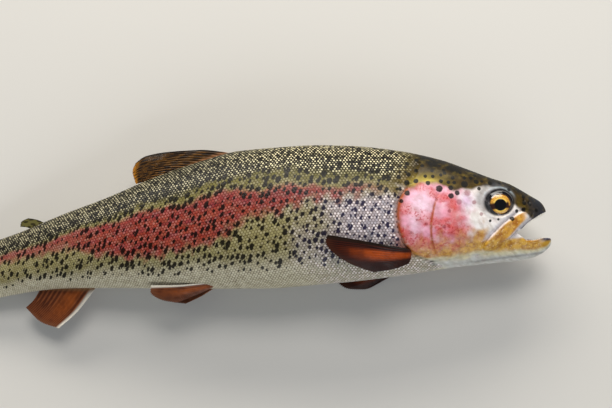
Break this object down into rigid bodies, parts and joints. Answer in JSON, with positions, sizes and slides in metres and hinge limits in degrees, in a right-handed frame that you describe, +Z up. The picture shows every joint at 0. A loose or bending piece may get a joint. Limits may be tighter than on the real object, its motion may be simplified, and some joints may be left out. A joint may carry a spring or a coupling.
{
  "type": "rainbow trout",
  "caption": "Life-size adult rainbow trout lying on its side, mouth a little open, back fin half folded, paired fins laid back.",
  "frame": {"origin": "on the resting surface, under the middle of the fish's box", "axes": "+X along the fish towards its snout, +Y towards its back fin, +Z up, out of the right flank"},
  "size_m": [0.4616, 0.117, 0.0543],
  "materials": {
    "skin": "wet scaled fish skin, dark olive back, rosy band, silvery belly",
    "gill_cover": "wet skin over bone, rose and silver",
    "jaw": "wet skin over bone, golden brown",
    "fin": "wet fin rays and membrane, brown",
    "eye": "glossy wet eye, black pupil in a gold and brown iris",
    "mouth": "wet pale mouth lining"
  },
  "bodies": {
    "root": {"head": "skin", "lower_jaw": "skin", "upper_jaw_right": "jaw", "upper_jaw_left": "jaw", "gill_cover_right": "gill_cover", "gill_cover_left": "gill_cover", "eye_right": "eye", "eye_left": "eye", "tongue": "mouth", "trunk": "skin", "tail_stalk": "skin", "dorsal_fin": "fin", "adipose_fin": "fin", "anal_fin": "fin", "caudal_fin": "fin", "pectoral_fin_right": "fin", "pectoral_fin_left": "fin", "pelvic_fin_right": "fin", "pelvic_fin_left": "fin"}
  },
  "joints": []
}
